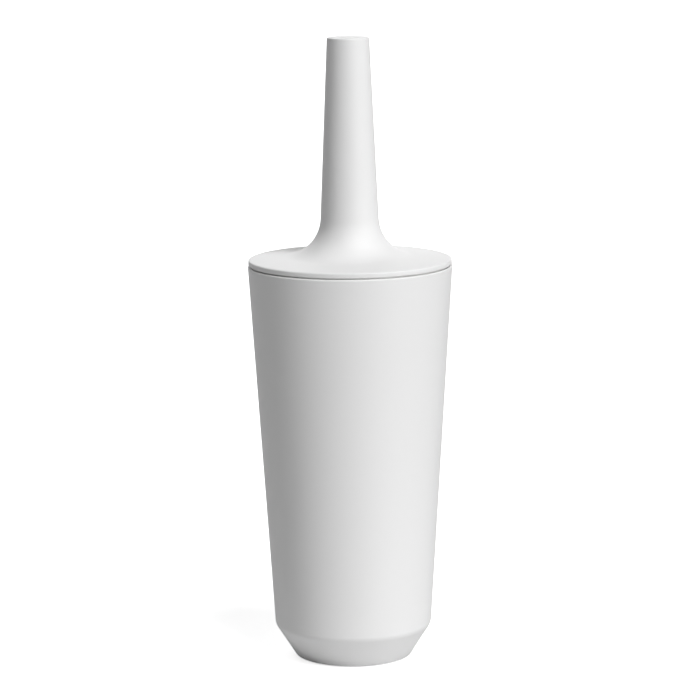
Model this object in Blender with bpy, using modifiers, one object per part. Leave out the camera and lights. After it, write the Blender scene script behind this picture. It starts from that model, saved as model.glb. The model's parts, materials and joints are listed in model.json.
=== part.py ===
"""Round lidded holder with its toilet brush, in metres, +Z up, standing on z = 0.

The holder is a tapered canister with a chamfered foot and a non-slip pad. A drip cup stands in it.
The brush hangs from the lid: lid and handle are one turned shell, closed below by a plate that
holds the stem, and the head screws on to the stem. Every piece is turned about the z axis.
"""

import math

import bpy
from mathutils import Matrix, Vector

# Canister
CANISTER_HEIGHT = 0.2487
RIM_RADIUS = 0.0637
CORNER_RADIUS = 0.0493
CORNER_HEIGHT = 0.0204
BASE_RADIUS = 0.0366
CORNER_ROUNDING = 0.0080
BASE_ROUNDING = 0.0014
RIM_ROUNDING = 0.0009
CANISTER_WALL = 0.0025
CANISTER_FLOOR = 0.0025
REBATE_WALL = 0.0013

# Non-slip pad, let into the underside of the canister
PAD_MARGIN = 0.0066
PAD_THICKNESS = 0.0016
PAD_PROUD = 0.0005

# Drip cup
CUP_HEIGHT = 0.0960
CUP_WALL = 0.0018
CUP_CLEARANCE = 0.0016
CUP_LIP_WIDTH = 0.0009
CUP_LIP_HEIGHT = 0.0022

# Lid and handle
LID_INSET = 0.0004
LID_EDGE = 0.0032
LID_GAP = 0.0008
LID_SLOPE = math.radians(5.0)
LID_WALL = 0.0022
LID_LIP = 0.0010
LID_EDGE_ROUNDING = 0.0010
HANDLE_HEIGHT = 0.1373
HANDLE_TOP_RADIUS = 0.0131
HANDLE_FOOT_RADIUS = 0.0192
HANDLE_TOP_ROUNDING = 0.0010
FLARE_RADIUS = 0.0245

# Plate under the lid
PLATE_THICKNESS = 0.0024
SKIRT_DEPTH = 0.0060
SKIRT_WALL = 0.0015
BOSS_WALL = 0.0032
BOSS_ABOVE = 0.0120
BOSS_BELOW = 0.0140
BOSS_CAP = 0.0020

# Stem
STEM_RADIUS = 0.0055
SPIGOT_STEP = 0.0015
SPIGOT_LENGTH = 0.0180
STEM_CHAMFER = 0.0006

# Brush head
CORE_RADIUS = 0.0120
COLLAR_STEP = 0.0030
COLLAR_HEIGHT = 0.0080
HEAD_ROUNDING = 0.0160
ROW_COUNT = 9
ROW_PITCH = 0.0080
ROW_GAP = 0.0012
TIP_HEIGHT = 0.0090

# Clearances
SEAT_GAP = 0.0003
PLATE_CLEARANCE = 0.0005
SKIRT_CLEARANCE = 0.0009
HEAD_CLEARANCE = 0.0064
BRUSH_FLOOR_GAP = 0.0087
HEAD_END_MARGIN = 0.0015

# Mesh settings
SHELL_FACETS = 48
ROD_FACETS = 24
MERGE_DISTANCE = 0.00001
SHARP_ANGLE = math.radians(35.0)
FRAME_SIZE = 0.02

# Sizes that follow from the ones above
PAD_RADIUS = BASE_RADIUS - PAD_MARGIN
LID_RADIUS = RIM_RADIUS - LID_INSET
SPIGOT_RADIUS = STEM_RADIUS - SPIGOT_STEP
COLLAR_RADIUS = STEM_RADIUS + COLLAR_STEP
HEAD_RADIUS = CORNER_RADIUS - CANISTER_WALL - CUP_CLEARANCE - CUP_WALL - HEAD_CLEARANCE
ROW_HEIGHT = ROW_PITCH - ROW_GAP

# Heights that follow from the sizes above
BASE_Z = PAD_PROUD
RECESS_Z = PAD_THICKNESS + SEAT_GAP
FLOOR_Z = RECESS_Z + CANISTER_FLOOR
LID_BOTTOM_Z = CANISTER_HEIGHT + LID_GAP
LID_TOP_Z = LID_BOTTOM_Z + LID_EDGE
HANDLE_TOP_Z = LID_TOP_Z + HANDLE_HEIGHT
CUP_BASE_Z = FLOOR_Z + SEAT_GAP
CUP_FLOOR_Z = CUP_BASE_Z + CUP_WALL
HEAD_BOTTOM_Z = CUP_FLOOR_Z + BRUSH_FLOOR_GAP
CORE_BOTTOM_Z = HEAD_BOTTOM_Z + TIP_HEIGHT + SEAT_GAP
FIRST_ROW_Z = CORE_BOTTOM_Z + HEAD_END_MARGIN + ROW_HEIGHT / 2
CORE_TOP_Z = FIRST_ROW_Z + (ROW_COUNT - 1) * ROW_PITCH + ROW_HEIGHT / 2 + HEAD_END_MARGIN
COLLAR_TOP_Z = CORE_TOP_Z + COLLAR_HEIGHT

# Sizes of what seats between the lid and the rim
REBATE_RADIUS = RIM_RADIUS - REBATE_WALL
LIP_UNDERSIDE_Z = LID_TOP_Z + LID_LIP * math.tan(LID_SLOPE) - LID_WALL / math.cos(LID_SLOPE)
PLATE_TOP_Z = LIP_UNDERSIDE_Z - SEAT_GAP
PLATE_BOTTOM_Z = PLATE_TOP_Z - PLATE_THICKNESS
LEDGE_Z = PLATE_BOTTOM_Z - SEAT_GAP
WALL_TAPER = (RIM_RADIUS - CORNER_RADIUS) / (CANISTER_HEIGHT - CORNER_HEIGHT)
SKIRT_RADIUS = RIM_RADIUS - CANISTER_WALL - SKIRT_CLEARANCE - WALL_TAPER * SKIRT_DEPTH
BOSS_BORE = STEM_RADIUS + SEAT_GAP
BOSS_TOP_Z = PLATE_TOP_Z + BOSS_ABOVE


def corner(radius, height, rounding=0.0, steps=1):
    """One corner of a profile: its place, its rounding and the arc's number of facets."""
    return Vector((radius, height)), rounding, steps


def place(profile_corner):
    """The corner's place alone."""
    return profile_corner[0]


def at_height(first, second, height):
    """The point at a height on the line through two points."""
    share = (height - first.y) / (second.y - first.y)
    return first + (second - first) * share


def crossing(first, second, third, fourth):
    """Where the line through the first two points meets the line through the other two."""
    along = second - first
    other = fourth - third
    share = (third - first).cross(other) / along.cross(other)
    return first + along * share


def inset(points, distance):
    """The open line of points, moved to the inner side: right of its way, as it runs down a wall."""
    moved = []
    for start, end in zip(points[:-1], points[1:]):
        way = (end - start).normalized()
        shift = Vector((way.y, -way.x)) * distance
        moved.append((start + shift, end + shift))
    inner = [moved[0][0]]
    for before, after in zip(moved[:-1], moved[1:]):
        inner.append(crossing(*before, *after))
    inner.append(moved[-1][1])
    return inner


def arc(before, middle, after, radius, steps):
    """The corner at middle, rounded to a radius."""
    back = (before - middle).normalized()
    ahead = (after - middle).normalized()
    half_angle = back.angle(ahead) / 2
    reach = radius / math.tan(half_angle)
    centre = middle + (back + ahead).normalized() * (radius / math.sin(half_angle))
    first = middle + back * reach - centre
    last = middle + ahead * reach - centre
    sweep = math.atan2(first.cross(last), first.dot(last))
    return [centre + Matrix.Rotation(sweep * step / steps, 2) @ first for step in range(steps + 1)]


def outline(corners):
    """The profile's points, from its corners, with round stretches as arcs."""
    points = [place(corners[0])]
    for before, (middle, rounding, steps), after in zip(corners, corners[1:], corners[2:]):
        if rounding > 0:
            points += arc(place(before), middle, place(after), rounding, steps)
        else:
            points.append(middle)
    points.append(place(corners[-1]))
    return points


def plastic(name, colour, roughness):
    """A moulded material of one colour."""
    material = bpy.data.materials.new(name)
    material.use_nodes = True
    shader = material.node_tree.nodes["Principled BSDF"]
    shader.inputs["Base Color"].default_value = (*colour, 1.0)
    shader.inputs["Roughness"].default_value = roughness
    shader.inputs["Metallic"].default_value = 0.0
    return material


def frame_at(name, height, parent=None):
    """An empty on the axis, at the height where its body's joint acts."""
    frame = bpy.data.objects.new(name, None)
    frame.empty_display_size = FRAME_SIZE
    frame["height"] = height
    frame.parent = parent
    frame.location.z = height - (parent["height"] if parent else 0.0)
    PARTS.objects.link(frame)
    return frame


def turned(name, corners, facets, material, frame, closed=False):
    """A solid turned about z. Its profile runs up the inside, over the top and down the outside."""
    points = outline(corners)
    edges = [(index, index + 1) for index in range(len(points) - 1)]
    if closed:
        edges.append((len(points) - 1, 0))
    profile = bpy.data.meshes.new(name + "_profile")
    profile.from_pydata([(point.x, 0.0, point.y - frame["height"]) for point in points], edges, [])
    obj = bpy.data.objects.new(name, profile)
    obj.parent = frame
    PARTS.objects.link(obj)
    screw = obj.modifiers.new("turn", "SCREW")
    screw.axis = "Z"
    screw.angle = math.tau
    screw.steps = facets
    screw.render_steps = facets
    screw.use_merge_vertices = True
    screw.merge_threshold = MERGE_DISTANCE
    evaluated = obj.evaluated_get(bpy.context.evaluated_depsgraph_get())
    solid = bpy.data.meshes.new_from_object(evaluated)
    obj.modifiers.clear()
    obj.data = solid
    bpy.data.meshes.remove(profile)
    solid.name = name
    solid.materials.append(material)
    solid.shade_smooth()
    solid.set_sharp_from_angle(angle=SHARP_ANGLE)
    return obj


def outer_wall():
    """The canister's outer corners, from the rim down to the foot."""
    return [
        Vector((RIM_RADIUS, CANISTER_HEIGHT)),
        Vector((CORNER_RADIUS, CORNER_HEIGHT)),
        Vector((BASE_RADIUS, BASE_Z)),
    ]


def make_canister(frame, material):
    """Tapered single-wall canister, thinned to a rebate at its rim."""
    outside = outer_wall()
    rim, wall_foot, base = inset(outside, CANISTER_WALL)
    floor_edge = at_height(wall_foot, base, FLOOR_Z)
    ledge_inner = at_height(rim, wall_foot, LEDGE_Z)
    inner_rounding = CORNER_ROUNDING - CANISTER_WALL
    turned(
        "canister",
        [
            corner(0.0, FLOOR_Z),
            (floor_edge, CANISTER_WALL, 3),
            (wall_foot, inner_rounding, 4),
            (ledge_inner, 0.0, 1),
            corner(REBATE_RADIUS, LEDGE_Z),
            corner(REBATE_RADIUS, CANISTER_HEIGHT),
            (outside[0], RIM_ROUNDING, 4),
            (outside[1], CORNER_ROUNDING, 6),
            (outside[2], BASE_ROUNDING, 4),
            corner(PAD_RADIUS + SEAT_GAP, BASE_Z),
            corner(PAD_RADIUS + SEAT_GAP, RECESS_Z),
            corner(0.0, RECESS_Z),
        ],
        SHELL_FACETS,
        material,
        frame,
    )


def make_base_pad(frame, material):
    """Non-slip disc in the canister's recess, standing just proud of the base."""
    turned(
        "base_pad",
        [
            corner(0.0, PAD_THICKNESS),
            corner(PAD_RADIUS, PAD_THICKNESS),
            corner(PAD_RADIUS, 0.0, PAD_PROUD / 2, 2),
            corner(0.0, 0.0),
        ],
        SHELL_FACETS,
        material,
        frame,
    )


def make_drip_cup(frame, material):
    """Lift-out cup that follows the canister's wall and chamfer at a clearance."""
    outside = inset(outer_wall(), CANISTER_WALL + CUP_CLEARANCE)
    inside = inset(outside, CUP_WALL)
    lip_under = at_height(outside[0], outside[1], CUP_HEIGHT - CUP_LIP_HEIGHT)
    lip_radius = at_height(outside[0], outside[1], CUP_HEIGHT).x + CUP_LIP_WIDTH
    outer_rounding = CORNER_ROUNDING - CANISTER_WALL - CUP_CLEARANCE
    turned(
        "drip_cup",
        [
            corner(0.0, CUP_FLOOR_Z),
            (at_height(inside[1], inside[2], CUP_FLOOR_Z), CUP_WALL, 3),
            (inside[1], outer_rounding - CUP_WALL, 4),
            (at_height(inside[0], inside[1], CUP_HEIGHT), CUP_WALL / 4, 2),
            corner(lip_radius, CUP_HEIGHT, CUP_WALL / 4, 2),
            corner(lip_radius, lip_under.y),
            (lip_under, 0.0, 1),
            (outside[1], outer_rounding, 4),
            (at_height(outside[1], outside[2], CUP_BASE_Z), CUP_WALL, 3),
            corner(0.0, CUP_BASE_Z),
        ],
        SHELL_FACETS,
        material,
        frame,
    )


def make_lid_handle(frame, material):
    """Lid and handle in one turned shell, open below."""
    handle_top = Vector((HANDLE_TOP_RADIUS, HANDLE_TOP_Z))
    handle_foot = Vector((HANDLE_FOOT_RADIUS, LID_TOP_Z))
    lid_edge = Vector((LID_RADIUS, LID_TOP_Z))
    lid_slope = Vector((-1.0, math.tan(LID_SLOPE)))
    flare = crossing(handle_top, handle_foot, lid_edge, lid_edge + lid_slope)
    hollow = inset([Vector((0.0, HANDLE_TOP_Z)), handle_top, flare, lid_edge], LID_WALL)
    lip_radius = LID_RADIUS - LID_LIP
    turned(
        "lid_handle",
        [
            corner(0.0, HANDLE_TOP_Z),
            (handle_top, HANDLE_TOP_ROUNDING, 3),
            (flare, FLARE_RADIUS, 10),
            (lid_edge, LID_EDGE_ROUNDING, 3),
            corner(LID_RADIUS, LID_BOTTOM_Z, LID_EDGE_ROUNDING / 2, 2),
            corner(lip_radius, LID_BOTTOM_Z),
            corner(lip_radius, LIP_UNDERSIDE_Z),
            (hollow[2], FLARE_RADIUS + LID_WALL, 8),
            (hollow[1], 0.0, 1),
            (hollow[0], 0.0, 1),
        ],
        SHELL_FACETS,
        material,
        frame,
    )


def make_lid_plate(frame, material):
    """Disc that closes the lid from below, with a locating skirt and a blind boss for the stem."""
    flange_radius = REBATE_RADIUS - PLATE_CLEARANCE
    skirt_top = SKIRT_RADIUS - SKIRT_WALL
    boss_radius = BOSS_BORE + BOSS_WALL
    turned(
        "lid_plate",
        [
            corner(0.0, BOSS_TOP_Z),
            corner(boss_radius, BOSS_TOP_Z, BOSS_WALL / 4, 2),
            corner(boss_radius, PLATE_TOP_Z),
            corner(flange_radius, PLATE_TOP_Z),
            corner(flange_radius, PLATE_BOTTOM_Z),
            corner(SKIRT_RADIUS, PLATE_BOTTOM_Z),
            corner(SKIRT_RADIUS, PLATE_BOTTOM_Z - SKIRT_DEPTH, SKIRT_WALL / 2.5, 2),
            corner(skirt_top, PLATE_BOTTOM_Z - SKIRT_DEPTH),
            corner(skirt_top, PLATE_BOTTOM_Z),
            corner(boss_radius, PLATE_BOTTOM_Z),
            corner(boss_radius, PLATE_BOTTOM_Z - BOSS_BELOW),
            corner(BOSS_BORE, PLATE_BOTTOM_Z - BOSS_BELOW),
            corner(BOSS_BORE, BOSS_TOP_Z - BOSS_CAP),
            corner(0.0, BOSS_TOP_Z - BOSS_CAP),
        ],
        SHELL_FACETS,
        material,
        frame,
    )


def make_stem(frame, material):
    """Rod from the plate's boss down to the head, with a spigot that enters the head's collar."""
    top = BOSS_TOP_Z - BOSS_CAP - SEAT_GAP
    shoulder = COLLAR_TOP_Z + SEAT_GAP
    turned(
        "stem",
        [
            corner(0.0, top),
            corner(STEM_RADIUS, top, STEM_CHAMFER, 1),
            corner(STEM_RADIUS, shoulder),
            corner(SPIGOT_RADIUS, shoulder),
            corner(SPIGOT_RADIUS, shoulder - SPIGOT_LENGTH, STEM_CHAMFER, 1),
            corner(0.0, shoulder - SPIGOT_LENGTH),
        ],
        ROD_FACETS,
        material,
        frame,
    )


def make_brush_core(frame, material):
    """Moulded core of the head, with a collar and a blind bore for the spigot."""
    bore_bottom = COLLAR_TOP_Z - SPIGOT_LENGTH
    turned(
        "brush_core",
        [
            corner(0.0, bore_bottom),
            corner(SPIGOT_RADIUS + SEAT_GAP, bore_bottom),
            corner(SPIGOT_RADIUS + SEAT_GAP, COLLAR_TOP_Z),
            corner(COLLAR_RADIUS, COLLAR_TOP_Z, STEM_CHAMFER, 1),
            corner(COLLAR_RADIUS, CORE_TOP_Z),
            corner(CORE_RADIUS, CORE_TOP_Z, HEAD_END_MARGIN, 2),
            corner(CORE_RADIUS, CORE_BOTTOM_Z, HEAD_END_MARGIN, 2),
            corner(0.0, CORE_BOTTOM_Z),
        ],
        ROD_FACETS,
        material,
        frame,
    )


def row_reach(height):
    """How far the bristles reach at a height: the head is straight above and rounded below."""
    below = HEAD_BOTTOM_Z + HEAD_ROUNDING - height
    if below <= 0:
        return HEAD_RADIUS
    return HEAD_RADIUS - HEAD_ROUNDING + math.sqrt(HEAD_ROUNDING**2 - below**2)


def make_bristles(frame, material):
    """One ring for each row of tufts, and the end tufts as a domed plug below the core."""
    for row in range(ROW_COUNT):
        middle = FIRST_ROW_Z + row * ROW_PITCH
        top = middle + ROW_HEIGHT / 2
        bottom = middle - ROW_HEIGHT / 2
        turned(
            f"bristle_row_{row + 1}",
            [
                corner(CORE_RADIUS + SEAT_GAP, bottom),
                corner(CORE_RADIUS + SEAT_GAP, top),
                corner(row_reach(top), top),
                corner(row_reach(bottom), bottom),
            ],
            ROD_FACETS,
            material,
            frame,
            closed=True,
        )
    tip_heights = [HEAD_BOTTOM_Z + TIP_HEIGHT * share for share in (1.0, 0.5, 0.2, 0.0)]
    turned(
        "bristle_tip",
        [
            corner(0.0, HEAD_BOTTOM_Z + TIP_HEIGHT),
            *(corner(row_reach(height), height) for height in tip_heights),
            corner(0.0, HEAD_BOTTOM_Z),
        ],
        ROD_FACETS,
        material,
        frame,
    )


def main():
    """Builds the holder, its cup and its brush."""
    shell = plastic("white_shell", (0.80, 0.80, 0.80), 0.40)
    inner = plastic("white_inner", (0.76, 0.76, 0.75), 0.45)
    rubber = plastic("grey_pad", (0.30, 0.30, 0.31), 0.75)
    nylon = plastic("white_nylon", (0.83, 0.83, 0.82), 0.50)
    holder = frame_at("holder_frame", 0.0)
    cup = frame_at("cup_frame", CUP_BASE_Z, holder)
    brush = frame_at("brush_frame", LID_BOTTOM_Z, cup)
    head = frame_at("head_frame", COLLAR_TOP_Z, brush)
    make_canister(holder, shell)
    make_base_pad(holder, rubber)
    make_drip_cup(cup, inner)
    make_lid_handle(brush, shell)
    make_lid_plate(brush, inner)
    make_stem(brush, inner)
    make_brush_core(head, inner)
    make_bristles(head, nylon)


for leftover in list(bpy.data.objects):
    bpy.data.objects.remove(leftover, do_unlink=True)
PARTS = bpy.data.collections.new("toilet_brush_holder")
bpy.context.scene.collection.children.link(PARTS)
main()
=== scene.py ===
"""Lidded toilet brush holder: finished surfaces, tufts, studio and camera, in metres, +Z up.

Every hard piece is a profile drawn in the x-z plane and spun about z, as on a lathe. The brush head
is real tufts of nylon filament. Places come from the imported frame, and each sub-assembly keeps the
sizes of its own profile.
"""

from __future__ import annotations

import json
import logging
import math
import random
from dataclasses import dataclass, field
from enum import Enum
from typing import Callable, Sequence

import bmesh
import bpy
from mathutils import Matrix, Vector

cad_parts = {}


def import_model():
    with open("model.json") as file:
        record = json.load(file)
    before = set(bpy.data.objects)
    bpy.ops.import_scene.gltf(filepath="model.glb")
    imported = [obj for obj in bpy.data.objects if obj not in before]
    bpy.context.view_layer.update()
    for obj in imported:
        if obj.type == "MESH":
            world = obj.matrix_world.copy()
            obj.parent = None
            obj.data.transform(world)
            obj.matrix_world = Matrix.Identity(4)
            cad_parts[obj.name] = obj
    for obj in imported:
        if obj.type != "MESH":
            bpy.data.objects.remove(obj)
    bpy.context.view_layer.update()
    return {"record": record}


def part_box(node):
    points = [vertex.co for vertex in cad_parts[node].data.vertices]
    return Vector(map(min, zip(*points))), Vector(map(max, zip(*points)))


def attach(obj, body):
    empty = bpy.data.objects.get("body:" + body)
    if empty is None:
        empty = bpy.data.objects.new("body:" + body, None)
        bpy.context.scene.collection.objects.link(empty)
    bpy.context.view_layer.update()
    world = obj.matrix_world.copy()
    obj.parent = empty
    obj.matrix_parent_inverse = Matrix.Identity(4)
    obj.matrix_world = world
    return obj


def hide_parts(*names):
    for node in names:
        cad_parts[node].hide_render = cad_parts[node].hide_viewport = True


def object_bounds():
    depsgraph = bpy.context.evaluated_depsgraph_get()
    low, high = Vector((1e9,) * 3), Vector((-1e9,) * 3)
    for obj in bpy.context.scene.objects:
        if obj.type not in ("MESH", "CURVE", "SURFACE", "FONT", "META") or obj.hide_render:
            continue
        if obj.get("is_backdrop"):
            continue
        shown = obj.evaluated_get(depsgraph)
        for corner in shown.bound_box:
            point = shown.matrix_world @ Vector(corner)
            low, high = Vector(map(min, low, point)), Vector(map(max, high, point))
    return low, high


LOG = logging.getLogger("holder")

MM = 0.001
# Clearance between pieces that sit on or in one another.
SEAT_GAP = 0.3 * MM
# Side of the small plane that each profile's first point is made from.
SEED_SIZE = 1.0 * MM
# Points closer than this are one point of a seam.
SEAM_MERGE = 0.001 * MM
# How far from the ends of a straight run its holding edges lie.
HOLDING_EDGE = 1.2 * MM
# Edges past this angle stay sharp, on turned pieces and on four-sided strands.
SHARP_EDGE = math.radians(32.0)
ROUND_SHADING = math.radians(80.0)
# A face whose normal has at least this much of a direction faces that way.
FACING = 0.9
# Halvings of the search for where a strand is cut.
SEARCH_STEPS = 16
# A noise texture stays mostly between these values.
NOISE_LOW = 0.3
NOISE_HIGH = 0.7
# How far away the lamps are placed, which changes nothing that they light.
LAMP_DISTANCE = 3.0


# ---------------------------------------------------------------------------------------------
# Profiles and the lathe
# ---------------------------------------------------------------------------------------------


@dataclass(frozen=True)
class Corner:
    """One corner of a profile."""

    radius: float
    height: float
    rounding: float = 0.0
    facets: int = 10

    @property
    def place(self) -> Vector:
        """The corner as a 2D point: distance from the axis, height."""
        return Vector((self.radius, self.height))


@dataclass(frozen=True)
class Span:
    """How far a CAD node reaches: its lowest and highest level and its largest radius."""

    bottom: float
    top: float
    radius: float

    @classmethod
    def of(cls, node: str) -> Span:
        """Reads the node's box in the frame.

        Args:
            node: The CAD node's name.

        Returns:
            The node's span.
        """
        low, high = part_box(node)
        return cls(low.z, high.z, high.x)


def at_height(first: Vector, second: Vector, height: float) -> Vector:
    """The point at a height on the line through two points."""
    share = (height - first.y) / (second.y - first.y)
    return first + (second - first) * share


def crossing(first: Vector, second: Vector, third: Vector, fourth: Vector) -> Vector:
    """Where the line through the first two points meets the line through the other two."""
    along, other = second - first, fourth - third
    return first + along * ((third - first).cross(other) / along.cross(other))


def inset(points: Sequence[Vector], distance: float) -> list[Vector]:
    """Moves an open line of points to its inner side.

    Args:
        points: The line, running down the outside of a wall.
        distance: How far it moves, which is the wall's thickness.

    Returns:
        The moved line, with as many points.
    """
    moved = []
    for start, end in zip(points[:-1], points[1:]):
        way = (end - start).normalized()
        shift = Vector((way.y, -way.x)) * distance
        moved.append((start + shift, end + shift))
    middle = [crossing(*before, *after) for before, after in zip(moved[:-1], moved[1:])]
    return [moved[0][0], *middle, moved[-1][1]]


def corner_at(point: Vector, rounding: float = 0.0, facets: int = 10) -> Corner:
    """A corner at a 2D point."""
    return Corner(point.x, point.y, rounding, facets)


def in_space(point: Vector) -> Vector:
    """A profile's 2D point as a place in the x-z plane."""
    return Vector((point.x, 0.0, point.y))


class Profile:
    """A wire that is drawn corner by corner in edit mode, with round corners as true arcs."""

    def __init__(self, name: str, first: Vector) -> None:
        """Starts the wire as one vertex.

        Args:
            name: The piece's name.
            first: The wire's first point.
        """
        clear_selection()
        bpy.ops.mesh.primitive_plane_add(size=SEED_SIZE, location=in_space(first))
        self.obj = bpy.context.object
        self.obj.name = name
        self.obj.data.name = name
        bpy.ops.object.transform_apply()
        bpy.ops.object.mode_set(mode="EDIT")
        bpy.ops.mesh.select_mode(type="VERT")
        bpy.ops.mesh.select_all(action="SELECT")
        bpy.ops.mesh.merge(type="CENTER")
        self.here = first.copy()

    def step_to(self, target: Vector) -> None:
        """Extrudes the wire's end to a point."""
        move = in_space(target - self.here)
        bpy.ops.mesh.extrude_region_move(TRANSFORM_OT_translate={"value": move})
        self.here = target.copy()

    def line_to(self, target: Vector) -> None:
        """Draws a straight run, with holding edges near its ends that keep its shading flat."""
        run = target - self.here
        if run.length > 4 * HOLDING_EDGE:
            hold = run.normalized() * HOLDING_EDGE
            self.step_to(self.here + hold)
            self.step_to(target - hold)
        self.step_to(target)

    def round_corner(self, corner: Corner, after: Vector) -> None:
        """Draws up to a corner and round it.

        Args:
            corner: The corner, with its rounding.
            after: The next corner's place.
        """
        middle = corner.place
        back = (self.here - middle).normalized()
        ahead = (after - middle).normalized()
        half_angle = back.angle(ahead) / 2
        reach = corner.rounding / math.tan(half_angle)
        centre = middle + (back + ahead).normalized() * (corner.rounding / math.sin(half_angle))
        self.line_to(middle + back * reach)
        first, last = self.here - centre, middle + ahead * reach - centre
        sweep = math.atan2(first.cross(last), first.dot(last))
        bpy.ops.mesh.spin(
            steps=corner.facets,
            angle=abs(sweep),
            center=in_space(centre),
            axis=(0.0, math.copysign(1.0, sweep), 0.0),
        )
        self.here = centre + last


def clear_selection() -> None:
    """Leaves edit mode and deselects every object."""
    if bpy.context.mode != "OBJECT":
        bpy.ops.object.mode_set(mode="OBJECT")
    bpy.ops.object.select_all(action="DESELECT")


def select_only(obj: bpy.types.Object) -> None:
    """Makes one object the selected and active one."""
    clear_selection()
    obj.select_set(True)
    bpy.context.view_layer.objects.active = obj


def shade(obj: bpy.types.Object, angle: float = SHARP_EDGE) -> None:
    """Shades a piece smooth, with edges past an angle left sharp."""
    select_only(obj)
    bpy.ops.object.shade_smooth_by_angle(angle=angle)


def turn(name: str, corners: Sequence[Corner], around: int) -> bpy.types.Object:
    """Turns a solid on the lathe.

    Args:
        name: The piece's name.
        corners: The profile, which starts and ends on the axis.
        around: How many facets the turned surface has round the axis.

    Returns:
        The closed mesh object, shaded smooth, with its place in its mesh.
    """
    profile = Profile(name, corners[0].place)
    for corner, after in zip(corners[1:-1], corners[2:]):
        if corner.rounding > 0:
            profile.round_corner(corner, after.place)
        else:
            profile.line_to(corner.place)
    profile.line_to(corners[-1].place)
    bpy.ops.mesh.select_all(action="SELECT")
    bpy.ops.mesh.remove_doubles(threshold=SEAM_MERGE)
    bpy.ops.mesh.select_all(action="SELECT")
    bpy.ops.mesh.spin(steps=around, angle=math.tau, center=(0.0, 0.0, 0.0), axis=(0.0, 0.0, 1.0))
    bpy.ops.mesh.select_all(action="SELECT")
    bpy.ops.mesh.remove_doubles(threshold=SEAM_MERGE)
    bpy.ops.mesh.normals_make_consistent(inside=False)
    bpy.ops.object.mode_set(mode="OBJECT")
    shade(profile.obj)
    return profile.obj


def select_faces(obj: bpy.types.Object, wanted: Callable[[bmesh.types.BMFace], bool]) -> None:
    """Enters edit mode with only the wanted faces selected.

    Args:
        obj: The mesh object.
        wanted: Says of a face whether it is selected.
    """
    select_only(obj)
    bpy.ops.object.mode_set(mode="EDIT")
    bpy.ops.mesh.select_mode(type="FACE")
    bpy.ops.mesh.select_all(action="DESELECT")
    for face in bmesh.from_edit_mesh(obj.data).faces:
        if wanted(face):
            face.select_set(True)
    bmesh.update_edit_mesh(obj.data)


# ---------------------------------------------------------------------------------------------
# Finishes
# ---------------------------------------------------------------------------------------------


def linear(hex_colour: str) -> tuple[float, float, float, float]:
    """Turns an sRGB hex colour to linear RGBA.

    Args:
        hex_colour: Six hex digits after a hash mark.

    Returns:
        The linear colour with full alpha.
    """
    channels = [int(hex_colour[place : place + 2], 16) / 255 for place in (1, 3, 5)]
    bent = [c / 12.92 if c <= 0.04045 else ((c + 0.055) / 1.055) ** 2.4 for c in channels]
    return (*bent, 1.0)


def add_node(
    tree: bpy.types.NodeTree,
    kind: str,
    settings: dict[str, object] | None = None,
    links: dict[str, bpy.types.NodeSocket] | None = None,
) -> bpy.types.Node:
    """Adds a node with its settings and its incoming links.

    Args:
        tree: The node tree.
        kind: The node's type, such as ShaderNodeBump.
        settings: Values by socket name or, where there is no such socket, by property name.
        links: Sockets of other nodes, by the name of the socket that each feeds.

    Returns:
        The new node.
    """
    node = tree.nodes.new(kind)
    for name, value in (settings or {}).items():
        if name in node.inputs:
            node.inputs[name].default_value = value
        else:
            setattr(node, name, value)
    for name, socket in (links or {}).items():
        tree.links.new(socket, node.inputs[name])
    return node


@dataclass(frozen=True)
class MouldedPlastic:
    """An injection-moulded polymer.

    The grain of the mould spreads the highlight, the flow of the melt gives a cloudiness that is
    only just there, and handling gives patches that are a little more polished.
    """

    name: str
    colour: str
    cloud_colour: str
    roughness: float
    roughness_spread: float
    ior: float
    grain_size: float
    grain_depth: float
    cloud_size: float
    patch_size: float

    def make(self) -> bpy.types.Material:
        """Builds the material.

        Returns:
            A procedural material on object coordinates.
        """
        material = bpy.data.materials.new(self.name)
        material.use_nodes = True
        tree = material.node_tree
        shader = tree.nodes["Principled BSDF"]
        shader.inputs["IOR"].default_value = self.ior
        place = add_node(tree, "ShaderNodeTexCoord").outputs["Object"]
        cloud = add_node(
            tree,
            "ShaderNodeTexNoise",
            {"Scale": 1 / self.cloud_size, "Detail": 2.0, "Roughness": 0.5},
            {"Vector": place},
        )
        tint = add_node(tree, "ShaderNodeValToRGB", {}, {"Fac": cloud.outputs["Fac"]})
        clear_tint, cloud_tint = tint.color_ramp.elements
        clear_tint.color = linear(self.colour)
        cloud_tint.color = linear(self.cloud_colour)
        patches = add_node(
            tree,
            "ShaderNodeTexNoise",
            {"Scale": 1 / self.patch_size, "Detail": 3.0, "Roughness": 0.6},
            {"Vector": place},
        )
        polish = add_node(
            tree,
            "ShaderNodeMapRange",
            {
                "From Min": NOISE_LOW,
                "From Max": NOISE_HIGH,
                "To Min": self.roughness - self.roughness_spread,
                "To Max": self.roughness + self.roughness_spread,
            },
            {"Value": patches.outputs["Fac"]},
        )
        grain = add_node(
            tree,
            "ShaderNodeTexNoise",
            {"Scale": 1 / self.grain_size, "Detail": 3.0, "Roughness": 0.55},
            {"Vector": place},
        )
        bump = add_node(
            tree,
            "ShaderNodeBump",
            {"Strength": 1.0, "Distance": self.grain_depth},
            {"Height": grain.outputs["Fac"]},
        )
        tree.links.new(tint.outputs["Color"], shader.inputs["Base Color"])
        tree.links.new(polish.outputs["Result"], shader.inputs["Roughness"])
        tree.links.new(bump.outputs["Normal"], shader.inputs["Normal"])
        return material


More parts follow.
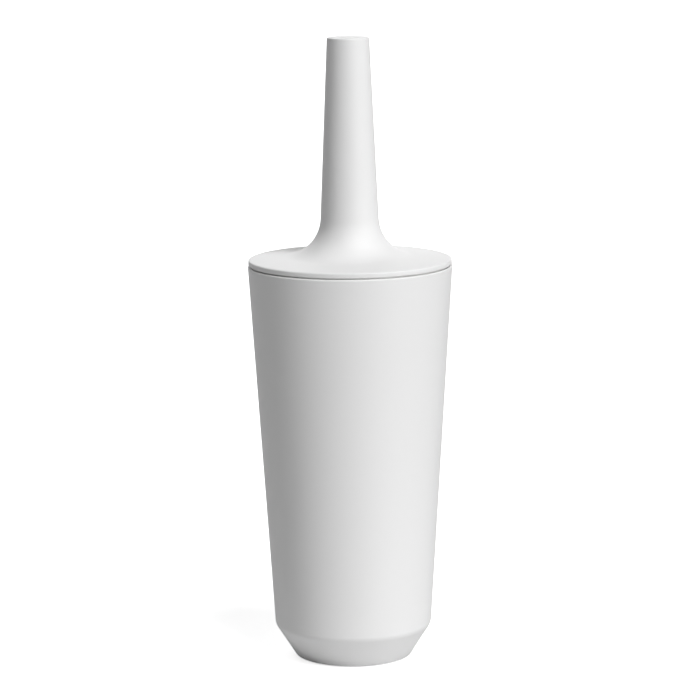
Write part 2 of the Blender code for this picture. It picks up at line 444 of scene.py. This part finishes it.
@dataclass(frozen=True)
class NylonFilament:
    """Extruded nylon 6 monofilament, cut to tufts.

    Each strand is milky and a little glossy along its length, and strands differ slightly in tone,
    so that a tuft reads as many strands and not as one block.
    """

    name: str = "nylon_filament_extruded"
    colour: str = "#FAFAFA"
    shade_colour: str = "#F0F0F0"
    roughness: float = 0.34
    ior: float = 1.53
    # Strands stand 0.5 mm apart, and tones change over four of them, because single ones are too
    # fine to show.
    tone_size: float = 4 * 0.5 * MM
    shade_end: float = 0.35
    milk_start: float = 0.6

    def make(self) -> bpy.types.Material:
        """Builds the material.

        Returns:
            A procedural material on object coordinates.
        """
        material = bpy.data.materials.new(self.name)
        material.use_nodes = True
        tree = material.node_tree
        shader = tree.nodes["Principled BSDF"]
        shader.inputs["IOR"].default_value = self.ior
        shader.inputs["Roughness"].default_value = self.roughness
        place = add_node(tree, "ShaderNodeTexCoord").outputs["Object"]
        strands = add_node(
            tree,
            "ShaderNodeTexNoise",
            {"Scale": 1 / self.tone_size, "Detail": 2.0},
            {"Vector": place},
        )
        tone = add_node(tree, "ShaderNodeValToRGB", {}, {"Fac": strands.outputs["Fac"]})
        shade_tone, milk_tone = tone.color_ramp.elements
        shade_tone.position, shade_tone.color = self.shade_end, linear(self.shade_colour)
        milk_tone.position, milk_tone.color = self.milk_start, linear(self.colour)
        tree.links.new(tone.outputs["Color"], shader.inputs["Base Color"])
        return material


@dataclass(frozen=True)
class StudioPaper:
    """Matt white background paper, lit a little from below, so that it stays white and even.

    The eye gets a clean white with a faint shadow. What the paper throws back on the holder gets
    less away from the middle, as from a white sheet that ends on a darker floor.
    """

    name: str = "studio_paper_matt"
    colour: str = "#FAFAFA"
    glow: float = 0.74
    sheet_colour: str = "#DCDCDC"
    room_colour: str = "#C7C7C7"
    sheet_radius: float = 0.30
    sheet_fade: float = 0.15

    def make(self) -> bpy.types.Material:
        """Builds the plain material.

        Returns:
            A material with one face for the camera and one for the light that it throws back.
        """
        material = bpy.data.materials.new(self.name)
        material.use_nodes = True
        tree = material.node_tree
        tree.nodes.clear()
        seen = add_node(
            tree,
            "ShaderNodeBsdfPrincipled",
            {
                "Base Color": linear(self.colour),
                "Roughness": 0.9,
                "Specular IOR Level": 0.0,
                "Emission Color": linear(self.colour),
                "Emission Strength": self.glow,
            },
        )
        place = add_node(tree, "ShaderNodeTexCoord").outputs["Object"]
        away = add_node(tree, "ShaderNodeVectorMath", {"operation": "LENGTH"}, {"Vector": place})
        edge = add_node(
            tree,
            "ShaderNodeMapRange",
            {
                "From Min": self.sheet_radius - self.sheet_fade,
                "From Max": self.sheet_radius + self.sheet_fade,
            },
            {"Value": away.outputs["Value"]},
        )
        tone = add_node(tree, "ShaderNodeValToRGB", {}, {"Fac": edge.outputs["Result"]})
        sheet_tone, room_tone = tone.color_ramp.elements
        sheet_tone.color = linear(self.sheet_colour)
        room_tone.color = linear(self.room_colour)
        bounce = add_node(tree, "ShaderNodeBsdfDiffuse", {}, {"Color": tone.outputs["Color"]})
        path = add_node(tree, "ShaderNodeLightPath")
        mix = add_node(tree, "ShaderNodeMixShader", {}, {"Fac": path.outputs["Is Camera Ray"]})
        tree.links.new(bounce.outputs["BSDF"], mix.inputs[1])
        tree.links.new(seen.outputs["BSDF"], mix.inputs[2])
        add_node(tree, "ShaderNodeOutputMaterial", {}, {"Surface": mix.outputs["Shader"]})
        return material


class Finish(Enum):
    """The finishes of the holder, by the slot of the record that they belong to."""

    # Polypropylene from a spark-eroded mould. Its grain is 0.25 mm in life and drawn at 0.9 mm,
    # so that it shows at all: the eye gets a soft, even satin with a broad highlight.
    SHELL = MouldedPlastic(
        "polypropylene_eroded_satin",
        colour="#E9E9E9",
        cloud_colour="#E7E7E7",
        roughness=0.58,
        roughness_spread=0.03,
        ior=1.49,
        grain_size=0.9 * MM,
        grain_depth=0.006 * MM,
        cloud_size=60 * MM,
        patch_size=18 * MM,
    )
    # The same polymer from a plain polished mould: the eye gets a smoother face with a clearer
    # highlight and the faint ripple of the melt.
    INNER = MouldedPlastic(
        "polypropylene_plain_moulded",
        colour="#E4E4E2",
        cloud_colour="#E0E0DE",
        roughness=0.33,
        roughness_spread=0.04,
        ior=1.49,
        grain_size=1.6 * MM,
        grain_depth=0.004 * MM,
        cloud_size=40 * MM,
        patch_size=12 * MM,
    )
    # Stiffer polypropylene that the tufts are stapled into: the eye gets a small, bright highlight.
    CORE = MouldedPlastic(
        "polypropylene_gloss_core",
        colour="#E8E8E5",
        cloud_colour="#E2E2DF",
        roughness=0.24,
        roughness_spread=0.03,
        ior=1.49,
        grain_size=2.0 * MM,
        grain_depth=0.004 * MM,
        cloud_size=20 * MM,
        patch_size=8 * MM,
    )
    # Thermoplastic rubber, moulded with a pebbled face: the eye gets a dull, even grey.
    PAD = MouldedPlastic(
        "thermoplastic_rubber_pebbled",
        colour="#8E8E90",
        cloud_colour="#858587",
        roughness=0.78,
        roughness_spread=0.05,
        ior=1.52,
        grain_size=0.8 * MM,
        grain_depth=0.06 * MM,
        cloud_size=10 * MM,
        patch_size=5 * MM,
    )
    # Nylon 6 filament: see its class.
    BRISTLE = NylonFilament()

    @property
    def slot(self) -> str:
        """The record's material slot."""
        return self.name.lower()


class Wardrobe:
    """Makes each finish once and puts it on pieces."""

    def __init__(self) -> None:
        """Starts with no material made."""
        self.made: dict[Finish, bpy.types.Material] = {}

    def put_on(self, obj: bpy.types.Object, finish: Finish, body: str, node: str) -> None:
        """Gives a piece its material and its body, and hides the CAD node that it stands for.

        Args:
            obj: The finished piece.
            finish: Its finish.
            body: The CAD body that it moves with.
            node: The CAD node that it replaces.
        """
        if finish not in self.made:
            self.made[finish] = finish.value.make()
        obj.data.materials.clear()
        obj.data.materials.append(self.made[finish])
        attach(obj, body)
        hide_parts(node)
        LOG.info("%s: %d faces, rides on %s", obj.name, len(obj.data.polygons), body)


# ---------------------------------------------------------------------------------------------
# Holder: canister and pad
# ---------------------------------------------------------------------------------------------


@dataclass
class Holder:
    """The tapered canister with its chamfered foot, and the non-slip pad under it."""

    rim_radius: float = 63.7 * MM
    corner_radius: float = 49.3 * MM
    corner_height: float = 20.4 * MM
    base_radius: float = 36.6 * MM
    corner_rounding: float = 8.0 * MM
    base_rounding: float = 1.4 * MM
    rim_rounding: float = 0.9 * MM
    wall: float = 2.5 * MM
    floor: float = 2.5 * MM
    rebate_wall: float = 1.3 * MM
    pad_top_rounding: float = 0.2 * MM
    pad_foot_rounding: float = 0.25 * MM
    pad_groove_depth: float = 0.35 * MM
    pad_groove_pitch: float = 3.0 * MM
    around: int = 256
    pieces: dict[str, bpy.types.Object] = field(default_factory=dict)

    def outside(self) -> list[Vector]:
        """The outer wall's corners, from the rim down to the foot."""
        span = Span.of("canister")
        return [
            Vector((self.rim_radius, span.top)),
            Vector((self.corner_radius, self.corner_height)),
            Vector((self.base_radius, span.bottom)),
        ]

    def build(self) -> None:
        """Builds both pieces."""
        self.build_canister()
        self.build_pad()

    def build_canister(self) -> None:
        """Turns the canister, thinned to a rebate inside its rim, with a recess for the pad."""
        span, pad = Span.of("canister"), Span.of("base_pad")
        rim, corner, base = self.outside()
        inner_rim, wall_foot, inner_base = inset([rim, corner, base], self.wall)
        recess_level = pad.top + SEAT_GAP
        floor_level = recess_level + self.floor
        recess_radius = pad.radius + SEAT_GAP
        rebate_radius = self.rim_radius - self.rebate_wall
        ledge_level = LidAndHandle.plate_bottom() - SEAT_GAP
        self.pieces["canister"] = turn(
            "canister_shell",
            [
                Corner(0.0, floor_level),
                corner_at(at_height(wall_foot, inner_base, floor_level), self.wall, 8),
                corner_at(wall_foot, self.corner_rounding - self.wall, 20),
                corner_at(at_height(inner_rim, wall_foot, ledge_level)),
                Corner(rebate_radius, ledge_level),
                Corner(rebate_radius, span.top, self.rebate_wall / 4, 4),
                corner_at(rim, self.rim_rounding, 8),
                corner_at(corner, self.corner_rounding, 28),
                corner_at(base, self.base_rounding, 10),
                Corner(recess_radius, span.bottom, self.rebate_wall / 4, 4),
                Corner(recess_radius, recess_level),
                Corner(0.0, recess_level),
            ],
            self.around,
        )

    def build_pad(self) -> None:
        """Turns the pad, then presses ring grooves into its underside."""
        pad = Span.of("base_pad")
        obj = turn(
            "foot_pad",
            [
                Corner(0.0, pad.top),
                Corner(pad.radius, pad.top, self.pad_top_rounding, 4),
                Corner(pad.radius, pad.bottom, self.pad_foot_rounding, 4),
                *self.groove_edges(pad),
                Corner(0.0, pad.bottom),
            ],
            self.around // 2,
        )
        pitch = self.pad_groove_pitch

        def in_groove(face: bmesh.types.BMFace) -> bool:
            """Whether a face of the underside lies between a groove's two edges."""
            reach = face.calc_center_median().xy.length
            grooved = pitch < reach < pad.radius - pitch
            in_outer_half = int(reach / pitch * 2) % 2 == 1
            return grooved and in_outer_half and face.normal.z < -FACING

        select_faces(obj, in_groove)
        bpy.ops.mesh.extrude_region_move(
            TRANSFORM_OT_translate={"value": (0.0, 0.0, self.pad_groove_depth)}
        )
        bpy.ops.mesh.select_all(action="SELECT")
        bpy.ops.mesh.normals_make_consistent(inside=False)
        clear_selection()
        shade(obj)
        self.pieces["pad"] = obj

    def groove_edges(self, pad: Span) -> list[Corner]:
        """The points of the pad's underside where ring grooves start and end, from outside in."""
        half = self.pad_groove_pitch / 2
        count = int(pad.radius / half) - 2
        return [Corner(half * step, pad.bottom) for step in range(count, 0, -1)]

    def dress(self, wardrobe: Wardrobe) -> None:
        """Gives both pieces their finish, on the body that stands still."""
        wardrobe.put_on(self.pieces["canister"], Finish.SHELL, "holder", "canister")
        wardrobe.put_on(self.pieces["pad"], Finish.PAD, "holder", "base_pad")


# ---------------------------------------------------------------------------------------------
# Drip cup
# ---------------------------------------------------------------------------------------------


@dataclass
class DripCup:
    """The lift-out cup, which follows the canister's wall and chamfer at a clearance."""

    holder: Holder
    wall: float = 1.8 * MM
    clearance: float = 1.6 * MM
    lip_width: float = 0.9 * MM
    lip_height: float = 2.2 * MM
    obj: bpy.types.Object | None = None

    def build(self) -> None:
        """Turns the cup, with a small lip to lift it by."""
        span = Span.of("drip_cup")
        to_outside = self.holder.wall + self.clearance
        outside = inset(self.holder.outside(), to_outside)
        inside = inset(outside, self.wall)
        rounding = self.holder.corner_rounding - to_outside
        top_edge = at_height(outside[0], outside[1], span.top)
        lip_radius = top_edge.x + self.lip_width
        lip_foot = span.top - self.lip_height
        self.obj = turn(
            "drip_cup_shell",
            [
                Corner(0.0, span.bottom + self.wall),
                corner_at(at_height(inside[1], inside[2], span.bottom + self.wall), self.wall, 6),
                corner_at(inside[1], rounding - self.wall, 16),
                corner_at(at_height(inside[0], inside[1], span.top), self.wall / 3, 5),
                Corner(lip_radius, span.top, self.wall / 3, 5),
                Corner(lip_radius, lip_foot, self.wall / 6, 4),
                corner_at(at_height(outside[0], outside[1], lip_foot), self.wall / 6, 4),
                corner_at(outside[1], rounding, 20),
                corner_at(at_height(outside[1], outside[2], span.bottom), self.wall, 6),
                Corner(0.0, span.bottom),
            ],
            self.holder.around,
        )

    def dress(self, wardrobe: Wardrobe) -> None:
        """Gives the cup its finish, on its own body."""
        wardrobe.put_on(self.obj, Finish.INNER, "cup", "drip_cup")


# ---------------------------------------------------------------------------------------------
# Brush: lid and handle, plate, stem
# ---------------------------------------------------------------------------------------------


@dataclass
class LidAndHandle:
    """The lid and handle in one shell, the plate that closes them from below, and the stem."""

    holder: Holder
    lid_edge: float = 3.2 * MM
    slope: float = math.radians(5.0)
    wall: float = 2.2 * MM
    lip: float = 1.0 * MM
    edge_rounding: float = 1.0 * MM
    top_radius: float = 13.1 * MM
    foot_radius: float = 19.2 * MM
    top_rounding: float = 1.0 * MM
    flare_rounding: float = 24.5 * MM
    plate_thickness: float = 2.4 * MM
    plate_rounding: float = 0.3 * MM
    skirt_depth: float = 6.0 * MM
    skirt_wall: float = 1.5 * MM
    skirt_clearance: float = 0.9 * MM
    skirt_rounding: float = 0.6 * MM
    skirt_inner_rounding: float = 0.4 * MM
    boss_wall: float = 3.2 * MM
    boss_below: float = 14.0 * MM
    boss_cap: float = 2.0 * MM
    boss_fillet: float = 1.5 * MM
    boss_rounding: float = 0.5 * MM
    stem_rounding: float = 0.6 * MM
    shoulder_rounding: float = 0.5 * MM
    spigot_step: float = 1.5 * MM
    spigot_length: float = 18.0 * MM
    around: int = 256
    pieces: dict[str, bpy.types.Object] = field(default_factory=dict)

    @staticmethod
    def plate_bottom() -> float:
        """The level of the plate's lower face: its boss starts a known way below it."""
        return Span.of("lid_plate").bottom + LidAndHandle.boss_below

    def build(self) -> None:
        """Builds the three pieces."""
        self.build_shell()
        self.build_plate()
        self.build_stem()

    def build_shell(self) -> None:
        """Turns the lid and handle as one hollow shell, open below."""
        span = Span.of("lid_handle")
        lid_top = span.bottom + self.lid_edge
        handle_top = Vector((self.top_radius, span.top))
        handle_foot = Vector((self.foot_radius, lid_top))
        rim = Vector((span.radius, lid_top))
        flare = crossing(handle_top, handle_foot, rim, rim + Vector((-1.0, math.tan(self.slope))))
        hollow = inset([Vector((0.0, span.top)), handle_top, flare, rim], self.wall)
        lip_radius = span.radius - self.lip
        lip_level = lid_top + self.lip * math.tan(self.slope) - self.wall / math.cos(self.slope)
        outside_then_inside = [
            Corner(0.0, span.top),
            corner_at(handle_top, self.top_rounding, 8),
            corner_at(flare, self.flare_rounding, 40),
            corner_at(rim, self.edge_rounding, 10),
            Corner(span.radius, span.bottom, self.edge_rounding / 2, 6),
            Corner(lip_radius, span.bottom, self.lip / 5, 4),
            Corner(lip_radius, lip_level),
            corner_at(hollow[2], self.flare_rounding + self.wall, 30),
            corner_at(hollow[1]),
            corner_at(hollow[0]),
        ]
        self.pieces["shell"] = turn("lid_and_handle_shell", outside_then_inside, self.around)

    def build_plate(self) -> None:
        """Turns the plate with its locating skirt and its blind boss."""
        span = Span.of("lid_plate")
        bottom = self.plate_bottom()
        top = bottom + self.plate_thickness
        bore = Span.of("stem").radius + SEAT_GAP
        boss = bore + self.boss_wall
        skirt = self.skirt_radius()
        skirt_foot = bottom - self.skirt_depth
        self.pieces["plate"] = turn(
            "lid_plate_moulding",
            [
                Corner(0.0, span.top),
                Corner(boss, span.top, self.boss_wall / 4, 5),
                Corner(boss, top, self.boss_wall / 4, 5),
                Corner(span.radius, top, self.plate_rounding, 4),
                Corner(span.radius, bottom, self.plate_rounding, 4),
                Corner(skirt, bottom),
                Corner(skirt, skirt_foot, self.skirt_rounding, 5),
                Corner(skirt - self.skirt_wall, skirt_foot, self.skirt_inner_rounding, 4),
                Corner(skirt - self.skirt_wall, bottom, self.skirt_rounding, 5),
                Corner(boss, bottom, self.boss_fillet, 8),
                Corner(boss, span.bottom, self.boss_rounding, 5),
                Corner(bore, span.bottom),
                Corner(bore, span.top - self.boss_cap),
                Corner(0.0, span.top - self.boss_cap),
            ],
            self.around,
        )

    def skirt_radius(self) -> float:
        """The skirt's outer radius, clear of the canister's tapered wall."""
        rim, corner, _ = self.holder.outside()
        narrowing = (rim.x - corner.x) / (rim.y - corner.y) * self.skirt_depth
        return rim.x - self.holder.wall - self.skirt_clearance - narrowing

    def build_stem(self) -> None:
        """Turns the rod, with the spigot that enters the head's collar."""
        span = Span.of("stem")
        shoulder = span.bottom + self.spigot_length
        spigot = span.radius - self.spigot_step
        self.pieces["stem"] = turn(
            "stem_rod",
            [
                Corner(0.0, span.top),
                Corner(span.radius, span.top, self.stem_rounding, 4),
                Corner(span.radius, shoulder, self.shoulder_rounding, 4),
                Corner(spigot, shoulder),
                Corner(spigot, span.bottom, self.stem_rounding, 4),
                Corner(0.0, span.bottom),
            ],
            self.around // 4,
        )

    def dress(self, wardrobe: Wardrobe) -> None:
        """Gives the three pieces their finish, on the body that lifts."""
        wardrobe.put_on(self.pieces["shell"], Finish.SHELL, "brush", "lid_handle")
        wardrobe.put_on(self.pieces["plate"], Finish.INNER, "brush", "lid_plate")
        wardrobe.put_on(self.pieces["stem"], Finish.INNER, "brush", "stem")


# ---------------------------------------------------------------------------------------------
# Brush head: core and tufts
# ---------------------------------------------------------------------------------------------


@dataclass
class Strand:
    """One nylon filament, with few faces because there are thousands, and thick enough to show."""

    radius: float = 0.21 * MM
    length: float = 25.0 * MM
    sides: int = 4
    stretches: int = 4
    crimp: float = 0.35 * MM
    obj: bpy.types.Object | None = None

    def build(self) -> None:
        """Extrudes the strand upwards from a short stub on the origin, with a slight crimp."""
        stretch = self.length / self.stretches
        clear_selection()
        bpy.ops.mesh.primitive_cylinder_add(
            vertices=self.sides,
            radius=self.radius,
            depth=stretch,
            location=(0.0, 0.0, stretch / 2),
        )
        self.obj = bpy.context.object
        bpy.ops.object.transform_apply()
        select_faces(self.obj, lambda face: face.normal.z > FACING)
        for step in range(1, self.stretches):
            side = self.crimp * math.cos(step * math.pi / 2)
            move = (side, 0.0, stretch)
            bpy.ops.mesh.extrude_region_move(TRANSFORM_OT_translate={"value": move})
        clear_selection()
        shade(self.obj, ROUND_SHADING)

    def end_points(self, level: float) -> list[int]:
        """Which of its vertices lie at one of its ends, by the end's level."""
        points = self.obj.data.vertices
        return [point.index for point in points if abs(point.co.z - level) < self.radius / 2]


@dataclass
class Tuft:
    """A bundle of strands from one hole, opening out like a fan."""

    strand: Strand
    strands: int = 26
    hole_radius: float = 1.5 * MM
    opening: float = math.radians(10.5)
    stray: float = math.radians(1.3)

    def model(self, dice: random.Random) -> bpy.types.Object:
        """Copies the strand over the hole, each copy tilted outwards by its place in it.

        Args:
            dice: The seeded source of small differences.

        Returns:
            The tuft, standing on the origin.
        """
        golden_angle = math.pi * (3 - math.sqrt(5))
        copies = []
        for index in range(self.strands):
            share = math.sqrt((index + 0.5) / self.strands)
            heading = Matrix.Rotation(index * golden_angle, 4, "Z")
            stand = Matrix.Translation((self.hole_radius * share, 0.0, 0.0))
            tilt = self.opening * share + dice.uniform(-self.stray, self.stray)
            lean = Matrix.Rotation(tilt, 4, "Y")
            spin = Matrix.Rotation(dice.uniform(0.0, math.tau), 4, "Z")
            copies.append(copy_of(self.strand.obj, heading @ stand @ lean @ spin))
        return join_as("tuft", copies)


@dataclass(frozen=True)
class TrimmedShape:
    """The surface that the strands are cut to: a cylinder with a rounded lower end."""

    radius: float
    bottom: float
    rounding: float
    cut_spread: float = 0.045

    def holds(self, point: Vector) -> bool:
        """Whether a point lies inside the shape."""
        below = max(0.0, self.bottom + self.rounding - point.z)
        if below > self.rounding:
            return False
        reach = self.radius - self.rounding + math.sqrt(self.rounding**2 - below**2)
        return point.xy.length < reach

    def run_to(self, foot: Vector, way: Vector) -> float:
        """How far a straight strand runs from its foot until it meets the surface.

        Args:
            foot: A point inside the shape.
            way: The strand's direction, of length one.

        Returns:
            The distance to the surface.
        """
        near, far = 0.0, 2 * self.radius
        for _ in range(SEARCH_STEPS):
            middle = (near + far) / 2
            if self.holds(foot + way * middle):
                near = middle
            else:
                far = middle
        return near

    def trim(self, tufts: bpy.types.Object, strand: Strand, dice: random.Random) -> None:
        """Stretches or shortens every strand along itself until it ends at the surface.

        Args:
            tufts: Joined tufts, whose strands follow one another in the mesh.
            strand: The strand that they are copies of.
            dice: The seeded source of small differences.
        """
        points = tufts.data.vertices
        feet, tips = strand.end_points(0.0), strand.end_points(strand.length)
        count = len(strand.obj.data.vertices)
        for first in range(0, len(points), count):
            foot = sum((points[first + i].co for i in feet), Vector()) / len(feet)
            tip = sum((points[first + i].co for i in tips), Vector()) / len(tips)
            way = (tip - foot).normalized()
            cut = 1.0 - self.cut_spread * dice.random()
            growth = self.run_to(foot, way) * cut / (tip - foot).length - 1.0
            for point in points[first : first + count]:
                point.co += way * ((point.co - foot).dot(way) * growth)


def copy_of(source: bpy.types.Object, where: Matrix) -> bpy.types.Object:
    """Copies a piece with its own mesh, and puts the place into that mesh."""
    twin = source.copy()
    twin.data = source.data.copy()
    twin.data.transform(where)
    bpy.context.scene.collection.objects.link(twin)
    return twin


def join_as(name: str, parts: Sequence[bpy.types.Object]) -> bpy.types.Object:
    """Joins pieces into the first of them and names the result."""
    clear_selection()
    for part in parts:
        part.select_set(True)
    bpy.context.view_layer.objects.active = parts[0]
    bpy.ops.object.join()
    parts[0].name = name
    parts[0].data.name = name
    return parts[0]


@dataclass(frozen=True)
class EndRing:
    """One ring of tufts at the core's end, which lean outwards from straight down, in degrees."""

    radius: float
    tufts: int
    lean: float


@dataclass
class BrushHead:
    """The moulded core with its collar, the rows of tufts round it and the tufts at its end."""

    nodes: Sequence[str]
    core_radius: float = 12.0 * MM
    collar_radius: float = 8.5 * MM
    collar_height: float = 8.0 * MM
    collar_rounding: float = 0.6 * MM
    collar_fillet: float = 0.8 * MM
    edge_rounding: float = 1.5 * MM
    grip_count: int = 16
    grip_depth: float = 0.5 * MM
    grip_border: float = 0.15 * MM
    end_rounding: float = 16.0 * MM
    tufts_per_row: int = 18
    tuft_kinds: int = 4
    set_in: float = 1.0 * MM
    end_rings: tuple[EndRing, ...] = (
        EndRing(0.0, 1, 0.0),
        EndRing(4.0 * MM, 6, 22.0),
        EndRing(7.4 * MM, 10, 42.0),
        EndRing(9.8 * MM, 14, 60.0),
        EndRing(10.6 * MM, 16, 77.0),
    )
    around: int = 96
    seed: int = 7
    pieces: dict[str, bpy.types.Object] = field(default_factory=dict)

    def build(self) -> None:
        """Builds the core, every row and the end tufts."""
        self.build_core()
        dice = random.Random(self.seed)
        strand = Strand()
        strand.build()
        kinds = [Tuft(strand).model(dice) for _ in range(self.tuft_kinds)]
        rows = [node for node in self.nodes if node.startswith("bristle_row_")]
        top_row, tip = Span.of(rows[-1]), Span.of("bristle_tip")
        shape = TrimmedShape(top_row.radius, tip.bottom, self.end_rounding)
        for count, node in enumerate(rows):
            row = self.set_row(Span.of(node), 0.5 * (count % 2), kinds, dice)
            self.pieces[node] = join_as(node.replace("bristle", "tuft"), row)
        self.pieces["bristle_tip"] = join_as("tuft_tip", self.set_end(kinds, dice))
        for node, obj in self.pieces.items():
            if node != "brush_core":
                shape.trim(obj, strand, dice)
        for spent in [strand.obj, *kinds]:
            bpy.data.objects.remove(spent)

    def build_core(self) -> None:
        """Turns the core, then presses grip flats into its collar."""
        span, stem = Span.of("brush_core"), Span.of("stem")
        collar_foot = span.top - self.collar_height
        spigot = stem.radius - LidAndHandle.spigot_step + SEAT_GAP
        bore_end = span.top - LidAndHandle.spigot_length
        obj = turn(
            "brush_core_moulding",
            [
                Corner(0.0, bore_end),
                Corner(spigot, bore_end),
                Corner(spigot, span.top),
                Corner(self.collar_radius, span.top, self.collar_rounding, 4),
                Corner(self.collar_radius, collar_foot, self.collar_fillet, 4),
                Corner(self.core_radius, collar_foot, self.edge_rounding, 6),
                Corner(self.core_radius, span.bottom, self.edge_rounding, 6),
                Corner(0.0, span.bottom),
            ],
            self.around,
        )
        middle = span.top - self.collar_height / 2

        def on_grip(face: bmesh.types.BMFace) -> bool:
            """Whether a face of the collar's side lies in one of the grip flats."""
            centre = face.calc_center_median()
            beside = abs(centre.z - middle) < self.collar_height / 4
            outer = centre.xy.length > self.collar_radius - self.grip_depth
            turn_share = math.atan2(centre.y, centre.x) / math.tau % 1.0
            return beside and outer and turn_share * self.grip_count % 1.0 < 0.5

        select_faces(obj, on_grip)
        bpy.ops.mesh.inset(thickness=self.grip_border, depth=-self.grip_depth)
        clear_selection()
        shade(obj)
        self.pieces["brush_core"] = obj

    def set_row(
        self,
        span: Span,
        stagger: float,
        kinds: Sequence[bpy.types.Object],
        dice: random.Random,
    ) -> list[bpy.types.Object]:
        """Sets one row of tufts round the core.

        Args:
            span: The reach of the row's CAD node.
            stagger: How far the row is turned, in places.
            kinds: The modelled tufts to copy.
            dice: The seeded source of small differences.

        Returns:
            The row's tufts.
        """
        level = (span.bottom + span.top) / 2
        outwards = Matrix.Rotation(math.radians(90.0), 4, "Y")
        stand = Matrix.Translation((self.core_radius - self.set_in, 0.0, level))
        tufts = []
        for place in range(self.tufts_per_row):
            heading = Matrix.Rotation((place + stagger) * math.tau / self.tufts_per_row, 4, "Z")
            roll = Matrix.Rotation(dice.uniform(0.0, math.tau), 4, "Z")
            tufts.append(copy_of(dice.choice(kinds), heading @ stand @ outwards @ roll))
        return tufts

    def set_end(
        self, kinds: Sequence[bpy.types.Object], dice: random.Random
    ) -> list[bpy.types.Object]:
        """Sets the tufts that point down and outwards from the core's end.

        Args:
            kinds: The modelled tufts to copy.
            dice: The seeded source of small differences.

        Returns:
            The end's tufts.
        """
        level = Span.of("brush_core").bottom + self.set_in
        tufts = []
        for ring in self.end_rings:
            stand = Matrix.Translation((ring.radius, 0.0, level))
            downwards = Matrix.Rotation(math.radians(180.0 - ring.lean), 4, "Y")
            for place in range(ring.tufts):
                heading = Matrix.Rotation(place * math.tau / ring.tufts, 4, "Z")
                roll = Matrix.Rotation(dice.uniform(0.0, math.tau), 4, "Z")
                tufts.append(copy_of(dice.choice(kinds), heading @ stand @ downwards @ roll))
        return tufts

    def dress(self, wardrobe: Wardrobe) -> None:
        """Gives the core and the tufts their finish, on the body that unscrews."""
        for node, obj in self.pieces.items():
            finish = Finish.CORE if node == "brush_core" else Finish.BRISTLE
            wardrobe.put_on(obj, finish, "brush_head", node)


# ---------------------------------------------------------------------------------------------
# Studio and camera
# ---------------------------------------------------------------------------------------------


@dataclass(frozen=True)
class SoftLight:
    """A soft studio light that shines evenly from one side.

    Its heading is 0 from the camera's side and 90 from the camera's right, its rise is the angle
    above level, and its width is how wide it looks from the holder, all in degrees.
    """

    name: str
    heading: float
    rise: float
    width: float
    strength: float

    def hang(self) -> None:
        """Adds the light, as a sun lamp of that width."""
        light = bpy.data.lights.new(self.name, "SUN")
        light.energy = self.strength
        light.angle = math.radians(self.width)
        heading, rise = math.radians(self.heading), math.radians(self.rise)
        away = Vector(
            (
                math.sin(heading) * math.cos(rise),
                -math.cos(heading) * math.cos(rise),
                math.sin(rise),
            )
        )
        obj = bpy.data.objects.new(self.name, light)
        obj.rotation_euler = away.to_track_quat("Z", "Y").to_euler()
        obj.location = away * LAMP_DISTANCE
        bpy.context.scene.collection.objects.link(obj)


@dataclass
class Studio:
    """White paper under and behind the holder, soft lights, and the camera."""

    lights: tuple[SoftLight, ...] = (
        SoftLight("key_high", 38.0, 65.0, 22.0, 1.28),
        SoftLight("key_front_right", 38.0, 50.0, 22.0, 1.24),
        SoftLight("low_front_right", 46.0, 5.0, 22.0, 1.38),
        SoftLight("back_left", -120.0, 50.0, 60.0, 0.57),
        SoftLight("backdrop", 180.0, 2.0, 60.0, 1.6),
    )
    floor_size: float = 60.0
    camera_distance: float = 1.855
    camera_height: float = 0.5213
    camera_aside: float = -0.56 * MM
    camera_pitch: float = 9.98
    camera_roll: float = -0.54
    focal_length: float = 154.9
    sensor_width: float = 36.0

    def build(self) -> None:
        """Sets up the floor, the backdrop, the lights and the camera."""
        self.lay_floor()
        self.hang_backdrop()
        for light in self.lights:
            light.hang()
        self.place_camera()

    def lay_floor(self) -> None:
        """Lays the paper at the level that the holder stands on."""
        clear_selection()
        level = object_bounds()[0].z
        bpy.ops.mesh.primitive_plane_add(size=self.floor_size, location=(0.0, 0.0, level))
        floor = bpy.context.object
        floor.name = "studio_floor"
        bpy.ops.object.transform_apply()
        floor.data.materials.append(StudioPaper().make())
        floor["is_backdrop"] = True

    def hang_backdrop(self) -> None:
        """Shows white where the camera sees past the paper, without lighting the holder."""
        world = bpy.data.worlds.new("studio")
        world.use_nodes = True
        bpy.context.scene.world = world
        bpy.context.scene.view_settings.view_transform = "Standard"
        tree = world.node_tree
        tree.nodes.clear()
        path = add_node(tree, "ShaderNodeLightPath")
        white = add_node(
            tree,
            "ShaderNodeBackground",
            {"Color": (1.0, 1.0, 1.0, 1.0)},
            {"Strength": path.outputs["Is Camera Ray"]},
        )
        add_node(tree, "ShaderNodeOutputWorld", {}, {"Surface": white.outputs["Background"]})

    def place_camera(self) -> None:
        """Puts the camera in front, a little above the holder and looking slightly down."""
        data = bpy.data.cameras.new("camera")
        data.lens = self.focal_length
        data.sensor_width = self.sensor_width
        camera = bpy.data.objects.new("camera", data)
        look = Matrix.Rotation(math.radians(90.0 - self.camera_pitch), 4, "X")
        roll = Matrix.Rotation(math.radians(self.camera_roll), 4, "Z")
        place = Matrix.Translation((self.camera_aside, -self.camera_distance, self.camera_height))
        camera.matrix_world = place @ look @ roll
        bpy.context.scene.collection.objects.link(camera)
        bpy.context.scene.camera = camera


def main() -> None:
    """Builds the holder, the cup, the brush and the studio, in that order."""
    logging.basicConfig(level=logging.INFO, format="%(name)s: %(message)s")
    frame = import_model()
    head_nodes = frame["record"]["behaviour"]["bodies"]["brush_head"]
    wardrobe = Wardrobe()
    holder = Holder()
    for assembly in (holder, DripCup(holder), LidAndHandle(holder), BrushHead(head_nodes)):
        assembly.build()
        assembly.dress(wardrobe)
    Studio().build()


if __name__ == "__main__":
    main()
